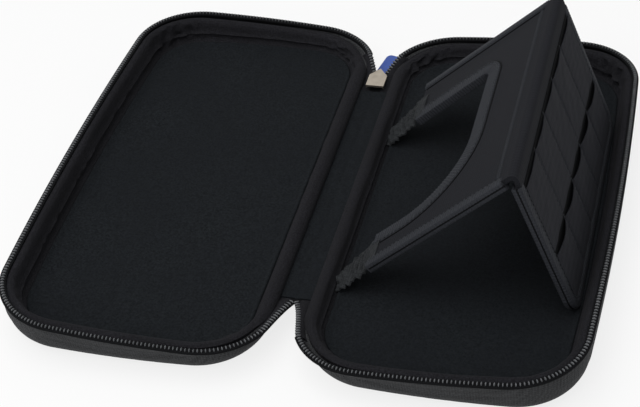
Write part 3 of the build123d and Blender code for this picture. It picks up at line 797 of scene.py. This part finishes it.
# Straps: elastic gathered between the wall and each arm
strap = {"start": -6.0, "end": 25.0, "wallWidth": 14.0, "armWidth": 19.0, "thickness": 0.9, "base": 2.2,
         "wave": 1.0, "pitch": 3.6, "bundle": 2.0, "rows": 150, "columns": 28,
         "middles": {"near": (-70.0, -65.5), "far": (46.0, 52.0)}, "widen": (-4.0, 22.0), "shift": (-4.0, 24.0),
         "loosen": (-5.0, 4.0), "tighten": (18.0, 4.0), "climb": (16.0, 5.0), "climbRise": 1.9,
         "calm": 0.2, "edgeCalm": 0.6, "bend": (4.5, 7.0, 1.5, 3.3), "crush": (1.3, 2.0, 4.0, 1.7),
         "pinch": (0.5, 1.0, 8.0, 4.4), "frill": (1.6, 4.0, 5.1), "turnRun": (0, 18), "turnLevel": 2}


def crumple(kind, s, v, way):  # depth, length along, count across, seed
    depth, length, count, seed = strap[kind]
    return depth * noise.noise(Vector((s / length, v * count, way * seed)))


for label, way in (("near", -1), ("far", 1)):
    rows, arc, widths = [], 0.0, []
    wallMiddle, armMiddle = strap["middles"][label]
    frillDepth, frillLength, frillSeed = strap["frill"]
    for r in range(strap["rows"] + 1):
        s = strap["start"] + (strap["end"] - strap["start"]) * r / strap["rows"]
        wide = strap["wallWidth"] + (strap["armWidth"] - strap["wallWidth"]) * easeFrom(s, strap["widen"])
        middle = wallMiddle + (armMiddle - wallMiddle) * easeFrom(s, strap["shift"])
        loose = easeFrom(s, strap["loosen"]) * (1 - easeFrom(s, strap["tighten"]))
        rest = strap["base"] + strap["climbRise"] * easeFrom(s, strap["climb"])
        top = []
        for c in range(strap["columns"] + 1):
            v = 2 * c / strap["columns"] - 1
            turn = 2 * math.pi * s / strap["pitch"] + crumple("bend", s, v, way)
            crush = crumple("crush", s, v, way) + crumple("pinch", s, v, way)
            ruffle = strap["wave"] * math.sin(turn) * (1 - strap["edgeCalm"] * abs(v)) + crush
            ruffle += strap["bundle"] * (1 - v * v)
            frill = frillDepth * noise.noise(Vector((s / frillLength, way * frillSeed, v))) * abs(v) * loose
            y = middle + v * wide / 2 + math.copysign(frill, v)
            top.append(fromBoard(standPlace, s, y, rest + ruffle * (strap["calm"] + (1 - strap["calm"]) * loose)))
        widths.append(sum((a - b).length for a, b in zip(top, top[1:])))
        if rows:
            arc += sum((a - b).length for a, b in zip(top, rows[-1])) / len(top)
        rows.append(clothLoop(standPlace, top, strap["thickness"]))
    cloth = meshFromRows(label + "Strap", rows, [coveredElastic], capRows=True)
    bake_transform(cloth)
    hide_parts(label + "_strap")

# Crease band: ribbed cloth bent over the fold between the two boards
crease = {"inner": 3.65, "outer": 4.4, "tailStand": 3.2, "tailFlap": 2.4, "half": 73.6, "plug": 4.5, "core": 1.8,
          "peak": 1.1, "rib": 0.05, "ribPitch": 2.0, "rows": 480, "turns": 14, "turnHalf": 4, "turnRise": 2}
bandRun = []
standOut, flapOut = math.radians(90 + boards["standAngle"]), math.radians(90 - boards["flapAngle"])
for share in (1.0, 0.75, 0.5, 0.25):
    bandRun.append((standOut, -crease["tailStand"] * share, boards["standAngle"]))
bandRun += [(standOut + (flapOut - standOut) * k / crease["turns"], 0.0, 0.0) for k in range(crease["turns"] + 1)]
for share in (0.5, 1.0):
    bandRun.append((flapOut, crease["tailFlap"] * share, -boards["flapAngle"]))
rows = []
for r in range(crease["rows"] + 1):
    y = crease["half"] * (2 * r / crease["rows"] - 1)
    lift = crease["rib"] * math.sin(2 * math.pi * y / crease["ribPitch"])
    loop = []
    inner = crease["inner"] if abs(y) < crease["half"] - crease["plug"] else crease["core"]
    for base in (crease["outer"] + lift, inner):
        side = []
        for angle, tail, slope in bandRun:
            slope = math.radians(slope)
            radius = base + crease["peak"] * math.sin(math.pi * (angle - flapOut) / (standOut - flapOut)) ** 2
            side.append((boards["crease"][0] + radius * math.cos(angle) + tail * math.cos(slope),
                         boards["crease"][1] + y,
                         boards["crease"][2] + radius * math.sin(angle) + tail * math.sin(slope)))
        loop += side if not loop else side[::-1]
    rows.append(loop)
creaseBand = meshFromRows("creaseBand", rows, [fineCanvas], capRows=True)
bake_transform(creaseBand)
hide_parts("fold_strip")
print("stand is bound and strapped")

# Card pockets: two rows of stretch cloth, each slit gaping between its seams
pockets = {"columns": 5, "half": 69.5, "cloth": 0.5, "base": 4.5, "mouth": 6.0, "rows": 44, "acrossEach": 30,
           "seamDepth": 0.5, "seamWidth": 0.9, "swell": 0.3, "swellPower": 4, "bowPower": 0.8, "bowFade": 6,
           "rowSpread": 1.4, "hemWidth": 2.6, "hemRise": 0.22, "drag": 0.28, "dragPitch": (6, 14, 8), "dragHold": 4,
           # slitLevel and slitShadeTape place and size the black strip of painted shade under each slit: height, edge
           # round, rib pitch, rib depth
           "slitLevel": 3.72, "slitShadeTape": (0.4, 0.1, 6.0, 0.0),
           "upper": {"start": 6.0, "end": 44.6, "gape": 0.5, "bow": 0.3, "slit": (4.6, 10.0), "seed": 2.2,
                     "body": "pocket_row_upper"},
           "lower": {"start": 47.0, "end": 75.0, "gape": 1.6, "bow": 0.5, "slit": (43.6, 54.0), "seed": 8.4,
                     "body": "pocket_row_lower"}}
pocketPitch = 2 * pockets["half"] / pockets["columns"]
acrossCount = pockets["columns"] * pockets["acrossEach"]
dragAlong, dragSkew, dragAcross = pockets["dragPitch"]
for label in ("upper", "lower"):
    row = pockets[label]
    rows = []
    for r in range(pockets["rows"] + 1):
        t = r / pockets["rows"]
        top = []
        for c in range(acrossCount + 1):
            y = pockets["half"] * (2 * c / acrossCount - 1)
            inside = (y + pockets["half"]) / pocketPitch % 1.0
            bow = abs(math.sin(math.pi * inside)) ** pockets["bowPower"]
            s = row["start"] + (row["end"] - row["start"]) * t ** pockets["rowSpread"]
            s += row["bow"] * bow * (1 - t) ** pockets["bowFade"]
            gaping = math.exp(-(s - row["start"]) / pockets["mouth"])
            sewn = 0.0
            if 0.5 < c / pockets["acrossEach"] < pockets["columns"] - 0.5:  # not along the two outer edges
                toSeam = min(inside, 1 - inside) * pocketPitch / pockets["seamWidth"]
                sewn = pockets["seamDepth"] * math.exp(-toSeam ** 2)
            hem = pockets["hemRise"] if s - row["start"] < pockets["hemWidth"] else 0.0
            drag = pockets["drag"] * noise.noise(Vector((s / dragAlong + y / dragSkew, y / dragAcross, row["seed"])))
            drag *= min(1, pockets["dragHold"] * bow)
            swell = pockets["swell"] * bow * (1 - t ** pockets["swellPower"])
            n = pockets["base"] + swell + row["gape"] * bow * gaping + hem + drag - sewn
            top.append(fromBoard(flapPlace, s, y, n))
        rows.append(clothLoop(flapPlace, top, pockets["cloth"]))
    cloth = meshFromRows(label + "Pockets", rows, [stretchJersey], capRows=True)
    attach(cloth, "flap")
    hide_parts(row["body"])

# Painted shade: a black tape strip under each slit stands in for the shade inside the pocket's opening
for label in ("upper", "lower"):
    slitTop, slitFoot = pockets[label]["slit"]
    line = [((slitTop + slitFoot) / 2, way * pockets["half"], pockets["slitLevel"]) for way in (-1, 1)]
    slitShadeSizes = (slitFoot - slitTop, *pockets["slitShadeTape"])
    slit = tapeRun(label + "SlitPaintedShade", [line], slitShadeSizes, polyesterTape, flapPlace)
    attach(slit, "flap")

# Stitches: one run for each body
stitch = {"pitch": 2.6, "size": (0.42, 1.9, 0.34), "high": 4.55, "insets": (3.3, 4.5), "standRun": (22.0, 106.0),
          "cutGrows": (6.2, 7.4), "flapTop": 6.0, "flapRound": 6.5, "lead": 1.0, "sink": 0.3}
ladder = {"pitch": 1.5, "size": (2.4, 0.55, 0.5), "high": 3.7, "place": 104.6, "inset": 6.0}
thread = (stitch["pitch"], stitch["size"], polyesterThread)
standRuns = []
for way in (-1, 1):
    for inset in stitch["insets"]:
        standRuns.append([(s, way * (boards["half"] - inset), stitch["high"]) for s in stitch["standRun"]])
for grow in stitch["cutGrows"]:
    standRuns.append(atLevel(cutRun(grow), stitch["high"]))
standStitches = beadRow("standStitches", standRuns, *thread, standPlace)
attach(standStitches, "stand")
ladderRun = [(ladder["place"], way * (boards["half"] - ladder["inset"]), ladder["high"]) for way in (-1, 1)]
creaseLadder = beadRow("creaseLadder", [ladderRun], ladder["pitch"], ladder["size"], polyesterThread, standPlace)
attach(creaseLadder, "stand")
flapRuns = []
for inset in stitch["insets"]:
    sewnEdge = bentRun(stitch["flapTop"], boards["flapLength"] - inset, boards["half"] - inset, stitch["flapRound"])
    flapRuns.append(atLevel(sewnEdge, stitch["high"]))
for label in ("upper", "lower"):
    row = pockets[label]
    for column in range(1, pockets["columns"]):
        y = pocketPitch * column - pockets["half"]
        flapRuns.append([(s - stitch["lead"], y, pockets["base"] - stitch["sink"]) for s in (row["start"], row["end"])])
flapStitches = beadRow("flapStitches", flapRuns, *thread, flapPlace)
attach(flapStitches, "flap")
print("pockets are sewn")
